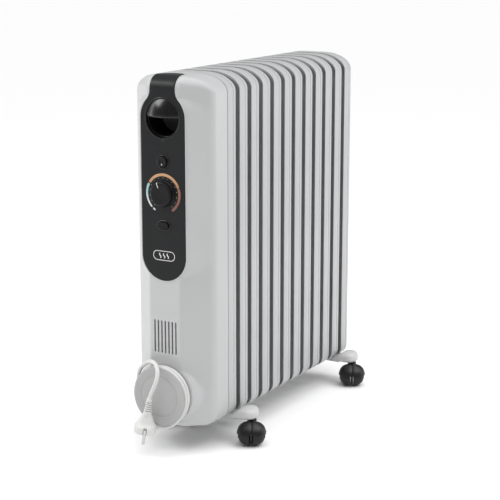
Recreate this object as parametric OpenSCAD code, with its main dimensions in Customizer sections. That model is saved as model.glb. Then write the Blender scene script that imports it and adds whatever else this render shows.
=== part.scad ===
// Oil filled radiator heater: twelve welded fins, a moulded control housing, a cord winder and four casters.
// Millimetres, +Z up, the controls face -Y, the origin is on the floor under the middle of the heater.

/* [Fins] */
// Number of fins
fin_count = 12; // [6:1:13]
// Distance from one fin to the next
fin_pitch = 39; // [34:1:46]
// Depth of a fin's rolled edge, front to back
fin_rim = 27; // [22:1:30]
// Width of a fin
fin_w = 154; // [150:1:170]
// Height of the fins' top above the floor
fin_top = 643; // [620:1:660]
// Height of the fins' underside above the floor
fin_low = 52; // [52:1:54]

/* [Control housing] */
// Depth of the housing in front of the first fin's edge
housing_l = 79; // [74:1:84]
// Width of the flat middle of the front
front_flat = 61; // [56:2:66]
// Depth of the slanted faces beside it
slant_l = 36.5; // [32:0.5:40]
// Wall thickness of the mouldings
wall = 3; // [2:0.5:4]

/* [Control panel] */
// Radius of the panel's rounded ends
panel_r = 43; // [41:1:44]
// Height of the hand recess's centre
recess_z = 574; // [572:1:576]
// Height of the push button's centre
button_z = 502; // [500:1:504]
// Height of the thermostat's centre
dial_z = 449; // [446:1:451]
// Height of the power key's centre
power_z = 395.5; // [394:0.5:398]
// Height of the panel's lower round end
panel_low_z = 344; // [342:1:348]

/* [Cord winder] */
// Height of the winder's centre
winder_z = 104; // [102:1:106]
// Radius of the winder's disc
disc_r = 50; // [48:1:52]
// How far the disc's face stands in front of the housing
disc_out = 22; // [22:1:24]
// Diameter of the mains lead
cord_d = 7; // [6.5:0.1:7]

/* [Casters] */
// Radius of a wheel
wheel_r = 20; // [18:0.5:20]
// Distance of a caster's stem from the middle
stem_x = 104; // [102:1:106]
// Distance from a stem to its wheels' axle
trail = 15; // [14:0.5:16]
// Direction that the right casters trail in, in degrees
right_turn = -63; // [-66:1:-60]
// Direction that the front left caster trails in, in degrees
front_left_turn = -20; // [-30:1:-10]

/* [Hidden] */
$fn = 48;
clear = 0.1;
cut = 1;
sliver = 0.001;

// Stations along the length, from the disc's face at the front to the last fin at the back
fin1_in = housing_l + fin_rim / 2;
total_l = disc_out + fin1_in + (fin_count - 1) * fin_pitch + fin_rim / 2;
face_y = disc_out - total_l / 2;
joint_y = face_y + housing_l;
fin1_y = face_y + fin1_in;
gap1_y = fin1_y + fin_pitch / 2;
bar_gap = fin_count - 2;
bar_y = [gap1_y, gap1_y + bar_gap * fin_pitch];

// Fin shape
sheet_t = 1.2;
web_t = 2.4;
chamber_t = 12;
chamber_w = 104;
chamber_end = 30;
top_corner_w = 55;
top_corner_h = 30;
low_corner = 20;
arc_step = 15;

// Oil headers and what is in the lower one
header_r = 21;
header_wall = 2.5;
header_low_z = fin_low + 42;
header_top_z = fin_top - 60;
element_r = 3.8;
element_gap = 15;
element_row = 8;
element_l = 400;
flange_r = 24;
flange_t = 5;

// Panel and raised platform
panel_t = 2.2;
platform_l = 27;
platform_grow = 21;
neck_w = 24.5;
neck_z = recess_z + 44;
neck_foot = 30;
top_edge_r = 22;
tongue_l = 22;
cup_r = 31.5;
cup_rim = 34;
cup_l = 46;
dial_r = 34;
dial_band = 4.6;
dial_t = 0.4;
knob_r = 22.5;
knob_h = 17;
shaft_r = 3;
button_r = 9;
bezel_r = 12;
press = 3;
power_w = 28;
power_h = 17.5;
power_rim = 2.2;

// Screws that hold the housing
screw_x = 66;
screw_z = [90, 340, 590];

// Vents
vent_count = 7;
vent_pitch = 6.97;
vent_w = 2.8;
vent_low = 175;
vent_top = 231;

// Electrical parts behind the panel
block_w = 48;
block_h = 14;
block_y = face_y + 49;
block_z = 150;
pole_gap = 14;
cutout_x = 40;
cutout_z = 300;
tilt_z = 120;

// Winder, winding and the lead's free end
boss_r = 54;
boss_grow = 8;
boss_l = 30;
drum_r = 29.3;
drum_wall = 4;
disc_t = 3;
slot_turn = 189;
slot_w = 22;
gland_l = 22;
gland_lean = 48;
layer_gap = 0.2;
strand_front = 13;
strand_back = 5;
last_turn_r = 47;
tail_route = [[-47, -13, 104], [-47, -13, 114], [-47.5, -13, 124], [-47, -13, 134], [-43.5, -13, 144],
    [-37, -13, 152], [-28, -14, 158.5], [-18, -17, 162], [-8, -21.5, 161.5], [0, -27, 157],
    [5, -32.5, 149], [6, -37, 139.5], [4, -40, 130], [0.5, -41, 121.5], [-3, -41, 114], [-6, -41, 106]];
plug_top = [-6, -41, 106];
plug_lean = [-2, 9];
relief_l = 28;
plug_r = 19;
plug_l = 34;
pin_r = 2.4;
pin_l = 19;
pin_gap = 19;
pin_turn = 31;

// Casters and the bars that carry them
bar_low = 44;
bar_w = 36;
bar_end = 84;
cap_end = 113;
cap_top = 64;
cap_w = 42;
stem_r = 4.95;
stem_top = 60;
socket_r = 5;
plate_t = 5;
wheel_in = 3.2;
tread_w = 14.5;
wheel_out = 23.6;
hub_r = 7;
axle_r = 3;
guard_gap = 0.6;
guard_t = 1.6;
bolt_r = 2.5;

// A polygon's corners rounded by radius r[i], each arc in n steps
function unit(v) = v / norm(v);
function arc_mix(s, e, w, k) = (sin((1 - k) * w) * s + sin(k * w) * e) / sin(w);
function corner(a, b, c, r, n) =
    let (u = unit(a - b), v = unit(c - b), half = acos(u * v) / 2, t = r / tan(half))
    let (mid = b + unit(u + v) * r / sin(half))
    [for (k = [0:n]) mid + arc_mix(b + u * t - mid, b + v * t - mid, 180 - 2 * half, k / n)];
function rounded(p, r, n = 5) = [for (i = [0:len(p) - 1])
    let (m = len(p), a = p[(i + m - 1) % m], c = p[(i + 1) % m])
    each (r[i] > 0 ? corner(a, p[i], c, r[i], n) : [p[i]])];

// Front outline that the fins and the housing share, drawn in X and Z and drawn in by inset
function quarter(cx, cz, rx, rz, a0) =
    [for (a = [a0:arc_step:a0 + 90]) [cx + rx * cos(a), cz + rz * sin(a)]];
function body_outline(inset) =
    let (hw = fin_w / 2 - inset, z0 = fin_low + inset, z1 = fin_top - inset, lr = low_corner - inset)
    let (cw = top_corner_w - inset, ch = top_corner_h - inset)
    concat(quarter(hw - lr, z0 + lr, lr, lr, -90), quarter(hw - cw, z1 - ch, cw, ch, 0),
        quarter(cw - hw, z1 - ch, cw, ch, 90), quarter(lr - hw, z0 + lr, lr, lr, 180));

// Puts a shape drawn in X and Z upright, running back from y for a length l
module upright(y, l) {
    translate([0, y + l, 0]) rotate([90, 0, 0]) linear_extrude(l) children();
}

// Local +Z points out of the front face at height z
module on_face(z) {
    translate([0, face_y, z]) rotate([90, 0, 0]) children();
}

// ---- Fins ----
module chamber_shape() {
    polygon(rounded([[-chamber_w / 2, fin_low + chamber_end], [chamber_w / 2, fin_low + chamber_end],
        [chamber_w / 2, fin_top - chamber_end], [-chamber_w / 2, fin_top - chamber_end]], [24, 24, 24, 24]));
}

module header_hole(y, l, z) {
    translate([0, y, z]) rotate([-90, 0, 0]) cylinder(r = header_r + clear, h = l);
}

module fin(i) {
    y = fin1_y + i * fin_pitch;
    last = i == fin_count - 1;
    bore_l = last ? chamber_t - 2 : chamber_t + 2 * cut;
    color("whitesmoke") difference() {
        union() {
            upright(y - fin_rim / 2, fin_rim) difference() {
                polygon(body_outline(0));
                polygon(body_outline(sheet_t));
            }
            upright(y - web_t / 2, web_t) polygon(body_outline(sheet_t / 2));
            upright(y - chamber_t / 2, chamber_t) chamber_shape();
        }
        header_hole(y - chamber_t / 2 - (last ? 0 : cut), bore_l, header_low_z);
        header_hole(y - chamber_t / 2 - (last ? 0 : cut), bore_l, header_top_z);
    }
}

// ---- Oil headers, filler plug and heating elements ----
module header(z, open) {
    l = (fin_count - 1) * fin_pitch + chamber_t - 2;
    color("gainsboro") translate([0, fin1_y - chamber_t / 2, z]) rotate([-90, 0, 0]) difference() {
        cylinder(r = header_r, h = l);
        translate([0, 0, open ? -cut : header_wall])
            cylinder(r = header_r - header_wall, h = l - header_wall + (open ? cut : -header_wall));
    }
}

module oil_fill_plug() {
    color("silver") translate([0, fin1_y - chamber_t / 2, header_top_z]) rotate([90, 0, 0]) {
        cylinder(r = 9, h = 4);
        cylinder(r = 6.5, h = 9, $fn = 6);
    }
}

module element(z) {
    leg_x = element_gap / 2;
    far_y = fin1_y + element_l;
    near_y = fin1_y - chamber_t / 2 - flange_t - 14;
    for (s = [-1, 1])
        translate([s * leg_x, near_y, z]) rotate([-90, 0, 0]) cylinder(r = element_r, h = far_y - near_y);
    translate([0, far_y, z]) rotate_extrude(angle = 180) translate([leg_x, 0]) circle(r = element_r);
}

module heating_elements() {
    color("dimgray") for (s = [-1, 1]) element(header_low_z + s * element_row);
}

module element_flange() {
    color("darkkhaki") translate([0, fin1_y - chamber_t / 2, header_low_z]) rotate([90, 0, 0]) difference() {
        union() {
            cylinder(r = flange_r, h = flange_t);
            cylinder(r = 20, h = flange_t + 7, $fn = 6);
        }
        for (sx = [-1, 1], sz = [-1, 1])
            translate([sx * element_gap / 2, sz * element_row, -cut])
                cylinder(r = element_r + clear, h = 20);
    }
}

// ---- Control housing ----
module housing_body(inset, back) {
    hw = fin_w / 2 - inset;
    flat = front_flat / 2 - inset * 0.35;
    y0 = face_y + inset;
    y1 = face_y + slant_l + inset * 0.5;
    z0 = fin_low + inset;
    z1 = fin_top - inset;
    intersection() {
        upright(y0, back - y0) polygon(body_outline(inset));
        linear_extrude(fin_top + cut) polygon(rounded(
            [[-hw, back], [-hw, y1], [-flat, y0], [flat, y0], [hw, y1], [hw, back]], [0, 9, 9, 9, 9, 0]));
        translate([-fin_w / 2, 0, 0]) rotate([90, 0, 90]) linear_extrude(fin_w) polygon(rounded(
            [[y0, z0], [back, z0], [back, z1], [y0, z1]], [8, 0, 0, top_edge_r]));
    }
}

// Raised pill behind the panel: two cones joined by a prism with the same slanted sides
module platform(inset) {
    r0 = panel_r + 2.6 - inset;
    r1 = r0 + platform_grow;
    on_face(0) {
        for (z = [panel_low_z, recess_z])
            translate([0, z, -platform_l - inset]) cylinder(r1 = r1, r2 = r0, h = platform_l);
        translate([0, panel_low_z, 0]) rotate([-90, 0, 0]) linear_extrude(recess_z - panel_low_z)
            polygon([[-r1, platform_l + inset], [r1, platform_l + inset], [r0, inset], [-r0, inset]]);
    }
}

module boss(inset) {
    on_face(winder_z) translate([0, 0, -boss_l - inset])
        cylinder(r1 = boss_r + boss_grow - inset, r2 = boss_r - inset, h = boss_l);
}

module housing_form(inset, back) {
    intersection() {
        union() {
            housing_body(inset, back);
            platform(inset);
            intersection() {
                boss(inset);
                translate([-fin_w / 2, face_y, fin_low + inset]) cube([fin_w, housing_l, fin_w]);
            }
        }
        translate([-fin_w / 2, face_y, 0]) cube([fin_w, back - face_y, fin_top - inset]);
    }
}

// Right half of the panel's front outline, from the bottom up
function panel_half() = concat(
    [for (a = [-90:10:0]) [panel_r * cos(a), panel_low_z + panel_r * sin(a)]],
    [for (a = [0:10:40]) [panel_r * cos(a), recess_z + panel_r * sin(a)]],
    [[neck_foot - 0.8, recess_z + 32], [neck_w + 1.6, neck_z - 7], [neck_w, neck_z],
        [neck_w, fin_top + cut]]);
function mirrored(p) = [for (i = [len(p) - 1:-1:0]) [-p[i][0], p[i][1]]];

module panel_outline() {
    half = panel_half();
    polygon(concat(half, mirrored(half)));
}

// The panel over the top edge, a tongue with a round end
module panel_top_outline() {
    half = concat([[neck_w, face_y - cut]],
        [for (a = [0:15:75]) [neck_w * cos(a), face_y + tongue_l + neck_w * sin(a)]]);
    polygon(concat(half, mirrored(half)));
}

module pill(w, h, l) {
    linear_extrude(l) square([w - h, h], center = true);
    for (s = [-1, 1]) translate([s * (w - h) / 2, 0, 0]) cylinder(d = h, h = l);
}

// The holes that the controls pass through, from depth d inside to outside the face
module control_holes(d) {
    on_face(recess_z) translate([0, 0, -d]) cylinder(r = cup_rim + 0.2, h = d + cut);
    on_face(button_z) translate([0, 0, -d]) cylinder(r = bezel_r - 1.5, h = d + cut);
    on_face(dial_z) translate([0, 0, -d]) cylinder(r = 6, h = d + cut);
    on_face(power_z) translate([0, 0, -d]) pill(power_w - 3, power_h - 3, d + cut);
}

module vents(d) {
    for (i = [0:vent_count - 1])
        translate([(i - (vent_count - 1) / 2) * vent_pitch - vent_w / 2, face_y - cut, vent_low])
            cube([vent_w, d + cut, vent_top - vent_low]);
}

module control_housing() {
    color("whitesmoke") difference() {
        housing_form(0, joint_y);
        housing_form(wall, joint_y + cut);
        intersection() {
            difference() {
                housing_form(-sliver, joint_y);
                housing_form(panel_t, joint_y);
            }
            panel_zone();
        }
        control_holes(wall + 2 * cut);
        vents(wall + cut);
        on_face(winder_z) translate([0, 0, -wall - cut]) cylinder(r = drum_r - drum_wall - 3, h = wall + 2 * cut);
    }
}

// Everything in front of or above the panel's outline
module panel_zone() {
    upright(face_y - cut, panel_t + 2 * cut) panel_outline();
    translate([0, 0, fin_top - top_edge_r - 2]) linear_extrude(top_edge_r + 2 + cut) panel_top_outline();
}

module control_panel() {
    color("darkslategray") difference() {
        intersection() {
            difference() {
                housing_form(0, joint_y);
                housing_form(panel_t, joint_y);
            }
            panel_zone();
        }
        control_holes(panel_t + cut);
    }
}

module heat_shield() {
    screw_hole_r = 4.2;
    color("silver") difference() {
        upright(joint_y - 2, 1.5) polygon(body_outline(wall + 0.5));
        translate([0, joint_y - 3, header_low_z]) rotate([-90, 0, 0]) cylinder(r = flange_r + 3, h = 5);
        translate([0, joint_y - 3, header_top_z]) rotate([-90, 0, 0]) cylinder(r = 12, h = 5);
        for (s = [-1, 1], z = screw_z)
            translate([s * screw_x, joint_y - 3, z]) rotate([-90, 0, 0]) cylinder(r = screw_hole_r, h = 5);
    }
}

// ---- Hand recess ----
module handle_cup() {
    color("black") on_face(recess_z) difference() {
        union() {
            translate([0, 0, -cup_l]) cylinder(r = cup_r, h = cup_l + 0.6);
            translate([0, 0, -panel_t - wall]) cylinder(r = cup_rim, h = panel_t + wall + 0.6);
        }
        translate([0, 0, -cup_l + 2]) cylinder(r = cup_r - 2, h = cup_l);
    }
}

// Domed grip over the upper half of the recess, hollow behind
module handle_grip() {
    ball_r = 60;
    bulge = 5;
    grip_r = cup_r - 2.2;
    color("black") on_face(recess_z) intersection() {
        difference() {
            translate([0, 0, bulge - ball_r]) sphere(r = ball_r);
            translate([0, 0, bulge - ball_r]) sphere(r = ball_r - 3);
        }
        cylinder(r = grip_r, h = 60, center = true);
        translate([-cup_r, 0.5, -12]) cube([2 * cup_r, cup_r, 24]);
    }
}

// ---- Thermostat ----
// One coloured stretch of the scale, from angle a over a turn, in the panel's own plane
module scale_band(a, turn, r_in, tint) {
    color(tint) on_face(dial_z) rotate([0, 0, a]) rotate_extrude(angle = turn)
        translate([r_in, 0]) square([dial_r - r_in, dial_t]);
}

module scale_ring() {
    scale_band(231, 10, dial_r - 3, "white");
    scale_band(150, 77, dial_r - 3.6, "lightblue");
    scale_band(21, 126, dial_r - dial_band, "tan");
    scale_band(-58, 77, dial_r - dial_band, "sienna");
}

module thermostat_knob() {
    color("black") on_face(dial_z) translate([0, 0, 0.8]) difference() {
        union() {
            cylinder(r1 = knob_r, r2 = knob_r - 2, h = knob_h - 3);
            translate([0, 0, knob_h - 3]) cylinder(r1 = knob_r - 2, r2 = knob_r - 4.5, h = 2.2);
        }
        translate([0, 0, -cut]) cylinder(r = knob_r - 5, h = 6);
        cylinder(r = shaft_r, h = knob_h - 4);
    }
}

module thermostat_shaft() {
    color("silver") on_face(dial_z) translate([0, 0, -22]) cylinder(r = shaft_r, h = knob_h - 3.2 + 22);
}

module thermostat_body() {
    body_w = 36;
    body_h = 32;
    body_l = 24;
    body_at = -40;
    neck_r = 5.6;
    tag_x = 10;
    tag_w = 6;
    color("ivory") on_face(dial_z) difference() {
        union() {
            translate([-body_w / 2, -body_h / 2, body_at]) cube([body_w, body_h, body_l]);
            translate([0, 0, body_at + body_l]) cylinder(r = neck_r, h = 15.4);
            for (s = [-1, 1])
                translate([s * tag_x - tag_w / 2, -body_h / 2 - 6, body_at + 6]) cube([tag_w, 6.1, 1.2]);
        }
        translate([0, 0, -24]) cylinder(r = shaft_r + 0.05, h = 30);
    }
}

// ---- Push button and power key ----
module button_bezels() {
    color("black") {
        on_face(button_z) translate([0, 0, -panel_t - wall]) difference() {
            union() {
                cylinder(r = bezel_r - 1.8, h = panel_t + wall);
                translate([0, 0, panel_t + wall]) cylinder(r = bezel_r, h = 1.4);
            }
            translate([0, 0, -cut]) cylinder(r = button_r + 0.4, h = 20);
        }
        on_face(power_z) translate([0, 0, -panel_t - wall]) difference() {
            union() {
                pill(power_w - 3.4, power_h - 3.4, panel_t + wall);
                translate([0, 0, panel_t + wall]) pill(power_w, power_h, 1.4);
            }
            translate([0, 0, -cut]) pill(power_w - 2 * power_rim - 1.2, power_h - 2 * power_rim - 1.2, 20);
        }
    }
}

module eco_button() {
    color("black") on_face(button_z) {
        translate([0, 0, -4]) cylinder(r = button_r, h = 4 + press + 1);
        translate([0, 0, -11.5]) cylinder(r = 3, h = 8);
    }
}

module eco_switch() {
    color("ivory") on_face(button_z) difference() {
        translate([-10, -8, -32]) cube([20, 16, 24]);
        translate([0, 0, -15.5]) cylinder(r = 3.4, h = 20);
    }
}

module power_key() {
    color("black") on_face(power_z) {
        translate([0, 0, -4]) pill(power_w - 2 * power_rim - 2, power_h - 2 * power_rim - 2, 4 + press + 0.6);
        translate([0, 0, -11.5]) cylinder(r = 3, h = 8);
    }
}

module power_switch() {
    color("ivory") on_face(power_z) difference() {
        translate([-13, -8, -34]) cube([26, 16, 26]);
        translate([0, 0, -15.5]) cylinder(r = 3.4, h = 20);
    }
}

// Three rising heat waves, each a band along half circles, in a pill-shaped line
module panel_badge() {
    badge_w = 42;
    badge_h = 15.5;
    line_w = 1.1;
    wave_r = 2.3;
    wave_gap = 7.5;
    color("white") on_face(panel_low_z) {
        difference() {
            pill(badge_w + line_w, badge_h + line_w, dial_t);
            translate([0, 0, -cut]) pill(badge_w - line_w, badge_h - line_w, dial_t + 2 * cut);
        }
        for (i = [-1:1], k = [-1, 1])
            translate([i * wave_gap, k * wave_r, 0]) rotate([0, 0, -90 * k]) rotate_extrude(angle = 180)
                translate([wave_r - line_w / 2, 0]) square([line_w, dial_t]);
    }
}

// ---- Cord winder ----
module winder_drum() {
    color("whitesmoke") on_face(winder_z) difference() {
        cylinder(r = drum_r, h = disc_out - disc_t);
        translate([0, 0, -cut]) cylinder(r = drum_r - drum_wall, h = disc_out);
        rotate([0, 0, slot_turn]) translate([18, -slot_w / 2, -cut]) cube([20, slot_w, disc_out]);
    }
}

module winder_disc() {
    dish = 1.4;
    color("whitesmoke") on_face(winder_z) translate([0, 0, disc_out - disc_t]) rotate_extrude() polygon([
        [0, 0], [disc_r - 1, 0], [disc_r, 1], [disc_r, disc_t - 0.6], [disc_r - 0.8, disc_t],
        [disc_r - 4, disc_t], [disc_r - 12, disc_t - dish], [0, disc_t - dish]]);
}

// Tapered sleeve through the drum's slot, where the lead starts its first turn
module cord_gland() {
    color("white") on_face(winder_z) rotate([0, 0, slot_turn]) translate([16.5, 10, strand_back])
        rotate([90, 0, gland_lean]) difference() {
            cylinder(r1 = 4.7, r2 = 4.3, h = gland_l);
            translate([0, 0, -cut]) cylinder(r = cord_d / 2 + clear, h = gland_l + 2 * cut);
        }
}

module cord_winding() {
    half = cord_d / 2 + layer_gap / 2;
    color("white") on_face(winder_z) translate([0, 0, strand_back - half]) difference() {
        cylinder(r = last_turn_r + half, h = strand_front - strand_back + 2 * half);
        translate([0, 0, -cut]) cylinder(r = drum_r + layer_gap, h = disc_out);
    }
}

// The lead's free end: rings across the route, joined into one closed tube
function ahead(p, i) = p[min(i + 1, len(p) - 1)] - p[max(i - 1, 0)];
function ring(c, dir, r, n) =
    let (side = unit(cross(dir, [0, 1, 0])), up = unit(cross(side, dir)))
    [for (k = [0:n - 1]) c + r * (cos(k * 360 / n) * side + sin(k * 360 / n) * up)];

module tube(route, r, n) {
    m = len(route);
    rings = [for (i = [0:m - 1]) each ring(route[i], ahead(route, i), r, n)];
    sides = [for (i = [0:m - 2], k = [0:n - 1])
        [i * n + k, (i + 1) * n + k, (i + 1) * n + (k + 1) % n, i * n + (k + 1) % n]];
    first = [for (k = [0:n - 1]) k];
    last = [for (k = [n - 1:-1:0]) (m - 1) * n + k];
    polyhedron(points = rings, faces = concat(sides, [first, last]), convexity = 6);
}

module cord_tail() {
    color("white") translate([0, face_y, 0]) tube(tail_route, cord_d / 2, 10);
}

// Local -Z runs down the hanging plug, from the end of the route
module on_plug() {
    translate(plug_top + [0, face_y, 0]) rotate([plug_lean[0], plug_lean[1], 0]) children();
}

module plug_relief() {
    color("white") on_plug() translate([0, 0, -relief_l]) cylinder(r1 = 7.5, r2 = 4.6, h = relief_l);
}

module plug_body() {
    color("white") on_plug() translate([0, 0, -relief_l - plug_l]) difference() {
        union() {
            cylinder(r = plug_r, h = 13);
            translate([0, 0, 13]) cylinder(r1 = plug_r, r2 = 14, h = 9);
            translate([0, 0, 22]) cylinder(r1 = 14, r2 = 8.5, h = plug_l - 22);
        }
        rotate([0, 0, pin_turn]) for (s = [-1, 1]) translate([s * plug_r - 3, -3, -cut]) cube([6, 6, 14]);
    }
}

module plug_pins() {
    color("silver") on_plug() rotate([0, 0, pin_turn]) for (s = [-1, 1])
        translate([0, s * pin_gap / 2, -relief_l - plug_l - pin_l]) {
            translate([0, 0, 2]) cylinder(r = pin_r, h = pin_l - 2);
            cylinder(r1 = 1.4, r2 = pin_r, h = 2);
        }
}

// ---- Electrical parts behind the panel ----
module terminal_block() {
    color("ivory") difference() {
        translate([-block_w / 2, block_y - 9, block_z]) cube([block_w, 18, block_h]);
        for (i = [-1:1]) translate([i * pole_gap, block_y, block_z + 8]) cylinder(r = 3, h = 10);
    }
}

module thermal_cutout() {
    color("silver") translate([cutout_x, joint_y - 2, cutout_z]) rotate([90, 0, 0]) {
        cylinder(r = 10, h = 8);
        translate([-12, -3, 0]) cube([24, 6, 2]);
    }
}

module tilt_switch() {
    color("ivory") translate([-60, joint_y - 22, tilt_z]) cube([22, 20, 34]);
}

// A straight insulated wire between two points, with round ends
module wire(a, b) {
    d = b - a;
    translate(a) sphere(r = 1.6, $fn = 16);
    translate(b) sphere(r = 1.6, $fn = 16);
    translate(a) rotate([0, acos(d[2] / norm(d)), atan2(d[1], d[0])]) cylinder(r = 1.6, h = norm(d), $fn = 16);
}

module wiring() {
    deep = face_y + 62;
    above = block_z + block_h + 4;
    routes = [
        [[-pole_gap, block_y, above], [-24, deep, 200], [-24, deep, 385], [-10, face_y + 37, power_z - 0.5]],
        [[0, block_y, above], [24, deep, 200], [24, deep, 430], [pole_gap, face_y + 43, dial_z - 9]],
        [[pole_gap, block_y, above], [32, deep, 190], [36, deep, 290], [cutout_x, joint_y - 12, cutout_z - 2]],
        [[-pole_gap, block_y, block_z - 4], [-22, deep, 138], [-49, deep, 172],
            [-49, joint_y - 12, tilt_z + 36]]];
    color("saddlebrown") for (r = routes, i = [0:2]) wire(r[i], r[i + 1]);
}

module housing_screws() {
    color("silver") for (s = [-1, 1], z = screw_z)
        translate([s * screw_x, joint_y + 0.2, z]) rotate([90, 0, 0]) {
            cylinder(r = 1.8, h = 14);
            cylinder(r = 3.6, h = 1.6);
        }
}

// ---- Caster bars ----
module caster_bar(y) {
    color("whitesmoke") difference() {
        translate([-bar_end, y - bar_w / 2, bar_low]) cube([2 * bar_end, bar_w, fin_low - bar_low]);
        translate([-bar_end - cut, y - bar_w / 2 + 3, bar_low - cut])
            cube([2 * bar_end + 2 * cut, bar_w - 6, fin_low - bar_low - 3 + cut]);
        for (s = [-1, 1]) translate([s * (header_r + bolt_r + 0.8), y, bar_low]) cylinder(r = bolt_r + clear, h = 20);
    }
}

module end_cap(y) {
    side = rounded([[bar_end, bar_low], [cap_end, bar_low], [cap_end, cap_top], [bar_end - 4, fin_low],
        [bar_end, fin_low]], [0, 6, 9, 0, 0]);
    plan = rounded([[bar_end - 5, y - cap_w / 2], [cap_end, y - cap_w / 2], [cap_end, y + cap_w / 2],
        [bar_end - 5, y + cap_w / 2]], [0, 17, 17, 0]);
    difference() {
        intersection() {
            upright(y - cap_w / 2, cap_w) polygon(side);
            translate([0, 0, bar_low]) linear_extrude(cap_top) polygon(plan);
        }
        translate([stem_x, y, bar_low - cut]) cylinder(r = socket_r, h = stem_top - bar_low + 2 * cut);
    }
}

module bar_end_caps() {
    color("whitesmoke") for (y = bar_y) {
        end_cap(y);
        mirror([1, 0, 0]) end_cap(y);
    }
}

// Round bar bent over the lower header, its two legs through the bar
module bar_u_bolts() {
    u_r = header_r + bolt_r + 0.8;
    color("silver") for (y = bar_y) {
        translate([0, y, header_low_z]) rotate([90, 0, 0]) rotate_extrude(angle = 180) translate([u_r, 0])
            circle(r = bolt_r);
        for (s = [-1, 1]) translate([s * u_r, y, bar_low - 2]) cylinder(r = bolt_r, h = header_low_z - bar_low + 2);
    }
}

module bar_wing_nuts() {
    u_r = header_r + bolt_r + 0.8;
    color("silver") for (y = bar_y, s = [-1, 1]) translate([s * u_r, y, bar_low - 1]) difference() {
        union() {
            cylinder(r = 5.5, h = 6);
            translate([-11, -1.2, 0]) cube([22, 2.4, 5]);
        }
        translate([0, 0, -cut]) cylinder(r = bolt_r + clear, h = 10);
    }
}

// ---- Casters ----
// Local X runs from the stem to the wheels, local Y along their axle
module at_caster(i) {
    side = i % 2 == 0 ? 1 : -1;
    y = bar_y[i < 2 ? 0 : 1];
    turns = [right_turn, front_left_turn, right_turn, 180 - right_turn];
    translate([side * stem_x, y, 0]) rotate([0, 0, turns[i]]) children();
}

// Half outline of the ball that a wheel pair makes, grown by g, in distance from the middle and radius
function ball_outline(g) = [for (a = [90:-15:0])
    [tread_w + (wheel_out - tread_w + g) * cos(a), hub_r + (wheel_r - hub_r + g) * sin(a)]];

module wheel_shape() {
    bore = axle_r + 0.02;
    polygon(concat([[wheel_in, bore], [wheel_in, wheel_r - 1], [wheel_in + 1, wheel_r]], ball_outline(0),
        [[wheel_out, bore]]));
}

// Turns a shape drawn in axle distance (x) and radius (y) round the axle
module round_axle(side) {
    translate([trail, 0, wheel_r]) rotate([90 * side, 0, 0]) children();
}

module caster_wheels(i) {
    color("black") at_caster(i) {
        for (side = [-1, 1]) round_axle(side) rotate_extrude() rotate([0, 0, 90]) mirror([0, 1, 0]) wheel_shape();
        translate([trail, 0, wheel_r]) rotate([90, 0, 0]) cylinder(r = axle_r, h = 2 * wheel_out, center = true);
    }
}

module guard_half(side) {
    round_axle(side) difference() {
        rotate_extrude() rotate([0, 0, 90]) mirror([0, 1, 0]) difference() {
            polygon(concat([[0, 0], [0, wheel_r + guard_gap + guard_t]], ball_outline(guard_gap + guard_t),
                [[wheel_out + guard_gap + guard_t, 0]]));
            polygon(concat([[-1, 0], [-1, wheel_r + guard_gap]], ball_outline(guard_gap),
                [[wheel_out + guard_gap, 0]]));
        }
    }
}

module caster_hood(i) {
    guard_z = wheel_r + 8;
    color("black") at_caster(i) {
        difference() {
            union() {
                translate([trail, plate_t / 2, wheel_r]) rotate([90, 0, 0]) cylinder(r = wheel_r - 4, h = plate_t);
                translate([0, -plate_t / 2, wheel_r]) cube([trail + 8, plate_t, wheel_r + 1]);
                intersection() {
                    union() {
                        guard_half(1);
                        guard_half(-1);
                    }
                    translate([-40, -40, guard_z]) cube([80, 80, 40]);
                }
                translate([0, 0, 41]) cylinder(r = 8, h = 2.6);
                translate([0, 0, 41]) cylinder(r = stem_r, h = stem_top - 41);
            }
            translate([trail, 5, wheel_r]) rotate([90, 0, 0]) cylinder(r = axle_r + 0.05, h = 10);
        }
    }
}

fin(0);  // fin_01
fin(1);  // fin_02
fin(2);  // fin_03
fin(3);  // fin_04
fin(4);  // fin_05
fin(5);  // fin_06
fin(6);  // fin_07
fin(7);  // fin_08
fin(8);  // fin_09
fin(9);  // fin_10
fin(10);  // fin_11
fin(11);  // fin_12
header(header_low_z, true);  // lower_oil_header
header(header_top_z, false);  // upper_oil_header
oil_fill_plug();
heating_elements();
element_flange();
control_housing();
heat_shield();
control_panel();
handle_cup();
handle_grip();
scale_ring();
thermostat_knob();
thermostat_shaft();
thermostat_body();
button_bezels();
eco_button();
eco_switch();
power_key();
power_switch();
panel_badge();
winder_drum();
winder_disc();
cord_gland();
cord_winding();
cord_tail();
plug_relief();
plug_body();
plug_pins();
terminal_block();
thermal_cutout();
tilt_switch();
wiring();
housing_screws();
caster_bar(bar_y[0]);  // front_caster_bar
caster_bar(bar_y[1]);  // rear_caster_bar
bar_end_caps();
bar_u_bolts();
bar_wing_nuts();
caster_hood(0);  // caster_hood_fr
caster_hood(1);  // caster_hood_fl
caster_hood(2);  // caster_hood_rr
caster_hood(3);  // caster_hood_rl
caster_wheels(0);  // caster_wheels_fr
caster_wheels(1);  // caster_wheels_fl
caster_wheels(2);  // caster_wheels_rr
caster_wheels(3);  // caster_wheels_rl
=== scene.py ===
import math

import bmesh
import bpy
from mathutils import Euler, Matrix, Vector


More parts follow.
